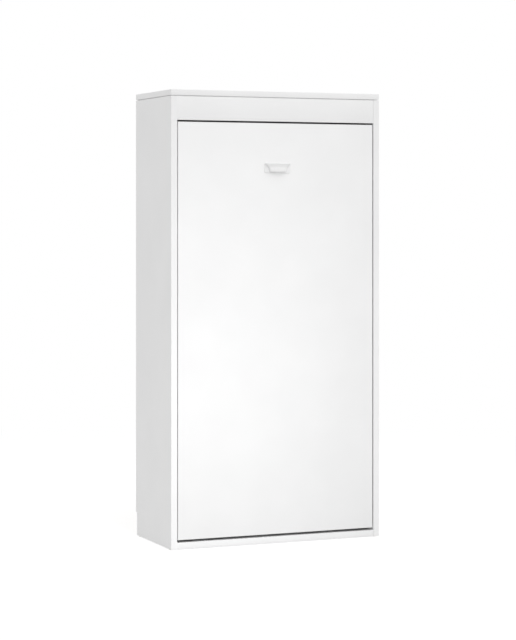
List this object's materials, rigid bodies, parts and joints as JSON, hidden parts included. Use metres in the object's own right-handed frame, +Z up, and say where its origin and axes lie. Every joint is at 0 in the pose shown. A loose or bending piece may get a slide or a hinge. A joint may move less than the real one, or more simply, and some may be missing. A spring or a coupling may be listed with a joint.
{
  "type": "wall bed",
  "caption": "Tall white cabinet with a vertical fold-down single bed: tube frame, bowed slats, gas struts, folding foot bow and scoop handle.",
  "frame": {"origin": "centre of the footprint at floor level, halfway between the front of the handle and the back of the cabinet", "axes": "+X across the cabinet to the right seen from the front, -Y out of the front, +Z up"},
  "size_m": [1.076, 0.522, 2.15],
  "materials": {
    "white_board": "white melamine-faced board, satin",
    "back_board": "thin hardboard, white inside and raw behind",
    "white_handle": "white lacquered, semi-gloss",
    "frame_steel": "grey powder coat, satin",
    "plated_steel": "zinc plated",
    "slats": "lacquered beech, satin",
    "dowel_wood": "raw beech",
    "dark_plastic": "moulded, matt",
    "bush_plastic": "moulded, smooth",
    "rubber": "matt",
    "mattress_fabric": "quilted knit",
    "webbing": "woven webbing",
    "strut_black": "black enamel, gloss",
    "strut_chrome": "polished"
  },
  "bodies": {
    "cabinet": {"back_panel": "back_board", "bottom_panel": "white_board", "cabinet_pivot_plate_left": "plated_steel", "cabinet_pivot_plate_right": "plated_steel", "cabinet_plate_screws": "plated_steel", "cam_bolts": "plated_steel", "cam_locks": "plated_steel", "door_bumpers": "rubber", "door_stop_brackets": "plated_steel", "floor_glides": "dark_plastic", "headboard_panel": "white_board", "lower_back_rail": "white_board", "middle_back_rail": "white_board", "pivot_pins": "plated_steel", "side_panel_left": "white_board", "side_panel_right": "white_board", "top_dowels": "dowel_wood", "top_fascia": "white_board", "top_panel": "white_board", "upper_back_rail": "white_board", "upper_strut_studs": "plated_steel"},
    "bed": {"bed_pivot_plate_left": "plated_steel", "bed_pivot_plate_right": "plated_steel", "bed_plate_screws": "plated_steel", "cross_rails": "frame_steel", "foot_rail": "frame_steel", "front_panel": "white_board", "handle": "white_handle", "head_rail": "frame_steel", "leg_pins": "plated_steel", "leg_plates": "plated_steel", "lower_strut_studs": "plated_steel", "mattress": "mattress_fabric", "panel_brackets": "plated_steel", "panel_screws": "plated_steel", "pivot_bushes": "bush_plastic", "rail_end_caps": "dark_plastic", "retaining_straps": "webbing", "side_rail_left": "frame_steel", "side_rail_right": "frame_steel", "slat_01": "slats", "slat_02": "slats", "slat_03": "slats", "slat_04": "slats", "slat_05": "slats", "slat_06": "slats", "slat_07": "slats", "slat_08": "slats", "slat_09": "slats", "slat_10": "slats", "slat_11": "slats", "slat_12": "slats", "slat_holders": "dark_plastic", "strap_buckles": "dark_plastic"},
    "folding_foot_body": {"folding_foot": "frame_steel", "foot_sleeves": "rubber"},
    "left_cylinder": {"left_strut_cylinder": "strut_black"},
    "left_rod": {"left_strut_rod": "strut_chrome"},
    "right_cylinder": {"right_strut_cylinder": "strut_black"},
    "right_rod": {"right_strut_rod": "strut_chrome"}
  },
  "joints": [
    {"name": "bed_fold", "type": "hinge", "parent": "cabinet", "child": "bed", "pos_m": [0, -0.18802, 0.32], "axis": [1, 0, 0], "range_deg": [0, 90]},
    {"name": "left_cylinder_swing", "type": "hinge", "parent": "cabinet", "child": "left_cylinder", "pos_m": [-0.489, -0.12332, 0.56148], "axis": [1, 0, 0], "range_deg": [0, 45]},
    {"name": "right_cylinder_swing", "type": "hinge", "parent": "cabinet", "child": "right_cylinder", "pos_m": [0.489, -0.12332, 0.56148], "axis": [1, 0, 0], "range_deg": [0, 45]},
    {"name": "left_rod_swing", "type": "hinge", "parent": "bed", "child": "left_rod", "pos_m": [-0.489, -0.18802, 0.07], "axis": [1, 0, 0], "range_deg": [-45, 0]},
    {"name": "right_rod_swing", "type": "hinge", "parent": "bed", "child": "right_rod", "pos_m": [0.489, -0.18802, 0.07], "axis": [1, 0, 0], "range_deg": [-45, 0]},
    {"name": "foot_fold", "type": "hinge", "parent": "bed", "child": "folding_foot_body", "pos_m": [0, -0.19102, 1.986], "axis": [1, 0, 0], "range_deg": [0, 210]}
  ],
  "couplings": [
    {"joint": "left_cylinder_swing", "follows": "bed_fold", "ratio": 0.5},
    {"joint": "right_cylinder_swing", "follows": "bed_fold", "ratio": 0.5},
    {"joint": "left_rod_swing", "follows": "bed_fold", "ratio": -0.5},
    {"joint": "right_rod_swing", "follows": "bed_fold", "ratio": -0.5},
    {"joint": "foot_fold", "follows": "bed_fold", "ratio": 2.3333}
  ]
}
